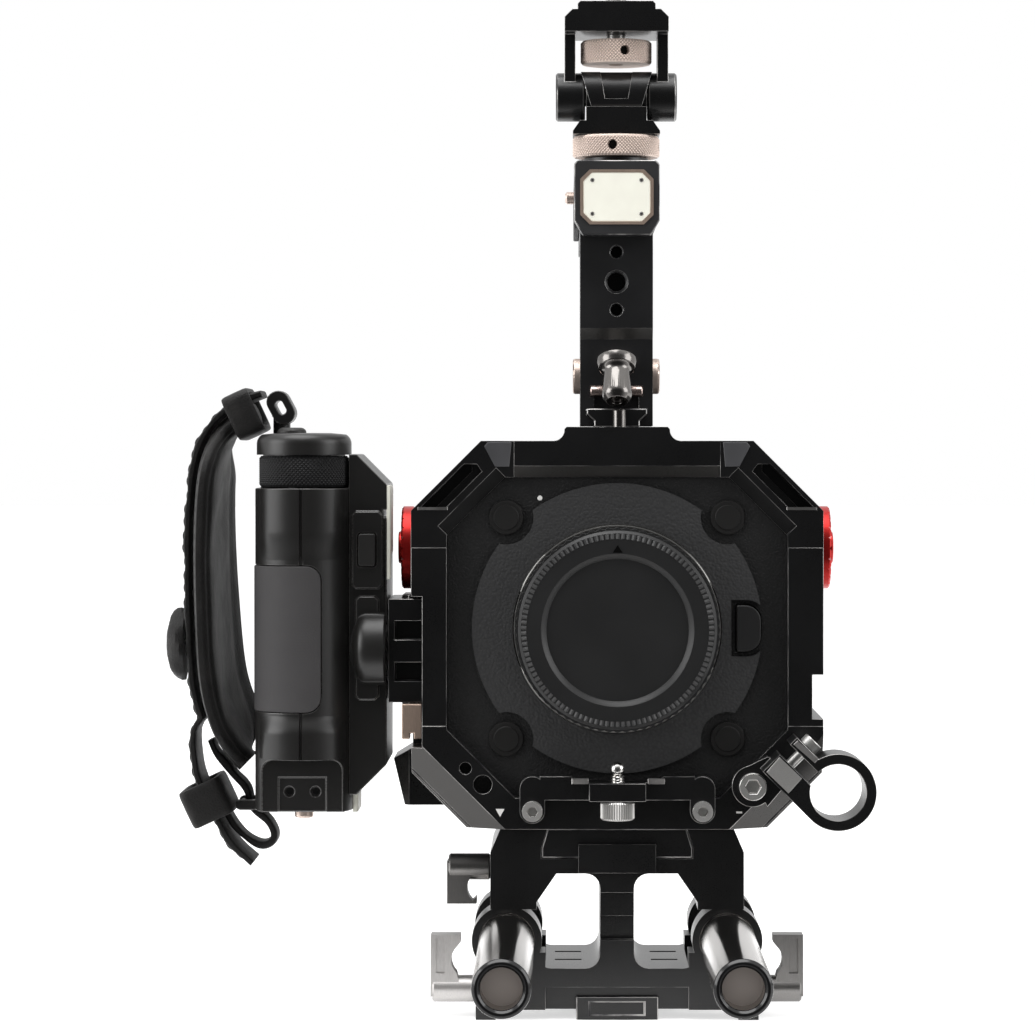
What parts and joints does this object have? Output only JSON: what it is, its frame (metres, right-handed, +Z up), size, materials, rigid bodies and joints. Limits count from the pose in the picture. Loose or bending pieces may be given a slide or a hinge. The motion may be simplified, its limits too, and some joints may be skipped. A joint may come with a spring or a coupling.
{
  "type": "cinema camera rig",
  "caption": "Box cinema camera in a bevelled cage on a two-rod base, with top handle, tilting monitor bracket, side grip with hand strap and rod holder.",
  "frame": {"origin": "mouth of the small tripod thread, in the standing face under the middle of the base", "axes": "+Z up, -Y the way the lens looks, +X to the right of a viewer who faces the lens"},
  "size_m": [0.195, 0.218, 0.284],
  "materials": {
    "black_aluminium": "satin black anodised",
    "gunmetal": "grey anodised, bead blasted",
    "rod_metal": "polished",
    "rose_metal": "champagne anodised",
    "red_metal": "red anodised",
    "screw_steel": "bright",
    "camera_shell": "fine grain",
    "cap_plastic": "satin moulded",
    "sensor_glass": "clear",
    "grip_plastic": "fine sand texture",
    "grip_rubber": "matt",
    "plate_cream": "satin",
    "strap_leather": "soft grain"
  },
  "bodies": {
    "base": {"base_arch": "black_aluminium", "tripod_foot": "black_aluminium"},
    "rod_left": {"rod_left": "rod_metal"},
    "rod_right": {"rod_right": "rod_metal"},
    "lever_left": {"lever_left": "gunmetal"},
    "lever_right": {"lever_right": "gunmetal"},
    "lever_plate": {"lever_plate": "gunmetal"},
    "cage": {"sliding_plate": "black_aluminium", "cage_bottom": "black_aluminium", "cage_side_left": "black_aluminium", "cage_side_right": "black_aluminium", "cage_corner_left": "black_aluminium", "cage_corner_right": "black_aluminium", "cage_top": "black_aluminium", "support_screws": "screw_steel", "rosette_left": "red_metal", "rosette_right": "red_metal", "side_rail": "black_aluminium", "grip_clamp": "black_aluminium", "top_rail": "black_aluminium", "lens_support": "black_aluminium", "camera_body": "camera_shell", "mount_surround": "camera_shell", "mount_ring": "screw_steel", "image_sensor": "sensor_glass", "front_plugs": "grip_rubber", "camera_terminals": "screw_steel", "rod_holder": "black_aluminium", "holder_screws": "screw_steel"},
    "rail_tab": {"rail_tab": "rose_metal"},
    "jack_wheel": {"jack_wheel": "screw_steel"},
    "lens_release": {"lens_release": "camera_shell"},
    "body_cap": {"body_cap": "cap_plastic"},
    "camera_battery": {"camera_battery": "camera_shell"},
    "top_handle": {"handle_frame": "black_aluminium", "handle_head": "black_aluminium", "name_plate": "plate_cream", "handle_pads": "grip_rubber", "cross_pin": "rose_metal"},
    "handle_latch": {"handle_latch": "gunmetal"},
    "press_left": {"press_left": "rose_metal"},
    "press_right": {"press_right": "rose_metal"},
    "lock_ring": {"lock_ring": "rose_metal"},
    "tilt_base": {"tilt_base": "black_aluminium"},
    "tilt_yoke": {"tilt_yoke": "black_aluminium", "tilt_shaft": "screw_steel"},
    "monitor_wheel": {"monitor_wheel": "rose_metal"},
    "side_grip": {"grip_shell": "grip_plastic", "grip_panel": "grip_rubber", "grip_housing": "grip_plastic", "grip_crown": "grip_plastic", "strap_pad": "strap_leather", "strap_band": "strap_leather", "strap_keepers": "strap_leather", "strap_anchor": "grip_plastic", "strap_button": "strap_leather"},
    "focus_wheel": {"focus_wheel": "grip_plastic"},
    "record_button": {"record_button": "grip_plastic"},
    "mode_button": {"mode_button": "grip_plastic"},
    "battery_knob": {"battery_knob": "rose_metal"}
  },
  "joints": [
    {"name": "plate_slide", "type": "slide", "parent": "base", "child": "cage", "axis": [0, 1, 0], "range_m": [0, 0.02]},
    {"name": "rod_left_slide", "type": "slide", "parent": "base", "child": "rod_left", "axis": [0, 1, 0], "range_m": [-0.02, 0.04]},
    {"name": "rod_right_slide", "type": "slide", "parent": "base", "child": "rod_right", "axis": [0, 1, 0], "range_m": [-0.02, 0.04]},
    {"name": "lever_left_turn", "type": "hinge", "parent": "base", "child": "lever_left", "pos_m": [-0.0388, -0.018, 0.0078], "axis": [1, 0, 0], "range_deg": [-90, 90]},
    {"name": "lever_right_turn", "type": "hinge", "parent": "base", "child": "lever_right", "pos_m": [0.0388, -0.018, 0.0078], "axis": [1, 0, 0], "range_deg": [-90, 90]},
    {"name": "lever_plate_turn", "type": "hinge", "parent": "base", "child": "lever_plate", "pos_m": [-0.0348, -0.004, 0.0395], "axis": [1, 0, 0], "range_deg": [-90, 90]},
    {"name": "rail_tab_press", "type": "slide", "parent": "cage", "child": "rail_tab", "axis": [0, 1, 0], "range_m": [0, 0.0012], "stiffness_N_per_m": 400, "springref_m": -0.0008},
    {"name": "jack_turn", "type": "hinge", "parent": "cage", "child": "jack_wheel", "pos_m": [0, -0.0309, 0.058], "axis": [0, 0, 1], "continuous": true},
    {"name": "lens_release_press", "type": "slide", "parent": "cage", "child": "lens_release", "axis": [0, 1, 0], "range_m": [0, 0.0015], "stiffness_N_per_m": 400, "springref_m": -0.0008},
    {"name": "body_cap_twist", "type": "hinge", "parent": "cage", "child": "body_cap", "pos_m": [0, -0.03, 0.1065], "axis": [0, 1, 0], "range_deg": [0, 45]},
    {"name": "battery_slide", "type": "slide", "parent": "cage", "child": "camera_battery", "axis": [0, 1, 0], "range_m": [0, 0.045]},
    {"name": "handle_slide", "type": "slide", "parent": "cage", "child": "top_handle", "axis": [0, 1, 0], "range_m": [-0.008, 0.008]},
    {"name": "handle_latch_turn", "type": "hinge", "parent": "top_handle", "child": "handle_latch", "pos_m": [0, -0.0138, 0.1796], "axis": [0, 1, 0], "range_deg": [-90, 90]},
    {"name": "press_left_push", "type": "slide", "parent": "top_handle", "child": "press_left", "axis": [1, 0, 0], "range_m": [0, 0.0012], "stiffness_N_per_m": 400, "springref_m": -0.0008},
    {"name": "press_right_push", "type": "slide", "parent": "top_handle", "child": "press_right", "axis": [-1, 0, 0], "range_m": [0, 0.0012], "stiffness_N_per_m": 400, "springref_m": -0.0008},
    {"name": "lock_ring_turn", "type": "hinge", "parent": "top_handle", "child": "lock_ring", "pos_m": [0, -0.005, 0.2388], "axis": [0, 0, 1], "continuous": true},
    {"name": "pan_turn", "type": "hinge", "parent": "top_handle", "child": "tilt_base", "pos_m": [0, -0.005, 0.244], "axis": [0, 0, 1], "continuous": true},
    {"name": "tilt_turn", "type": "hinge", "parent": "tilt_base", "child": "tilt_yoke", "pos_m": [0, -0.005, 0.2527], "axis": [1, 0, 0], "range_deg": [-90, 90]},
    {"name": "monitor_wheel_turn", "type": "hinge", "parent": "tilt_yoke", "child": "monitor_wheel", "pos_m": [0, -0.005, 0.2649], "axis": [0, 0, 1], "continuous": true},
    {"name": "grip_swivel", "type": "hinge", "parent": "cage", "child": "side_grip", "pos_m": [-0.06325, -0.005, 0.1005], "axis": [1, 0, 0], "range_deg": [-60, 60]},
    {"name": "focus_turn", "type": "hinge", "parent": "side_grip", "child": "focus_wheel", "pos_m": [-0.08635, -0.006, 0.1491], "axis": [0, 0, 1], "continuous": true},
    {"name": "record_press", "type": "slide", "parent": "side_grip", "child": "record_button", "axis": [0, 0, -1], "range_m": [0, 0.001], "stiffness_N_per_m": 400, "springref_m": -0.0008},
    {"name": "mode_press", "type": "slide", "parent": "side_grip", "child": "mode_button", "axis": [0, 1, 0], "range_m": [0, 0.0008], "stiffness_N_per_m": 400, "springref_m": -0.0008},
    {"name": "battery_knob_press", "type": "slide", "parent": "side_grip", "child": "battery_knob", "axis": [0, 0, 1], "range_m": [0, 0.0015], "stiffness_N_per_m": 400, "springref_m": -0.0008}
  ]
}
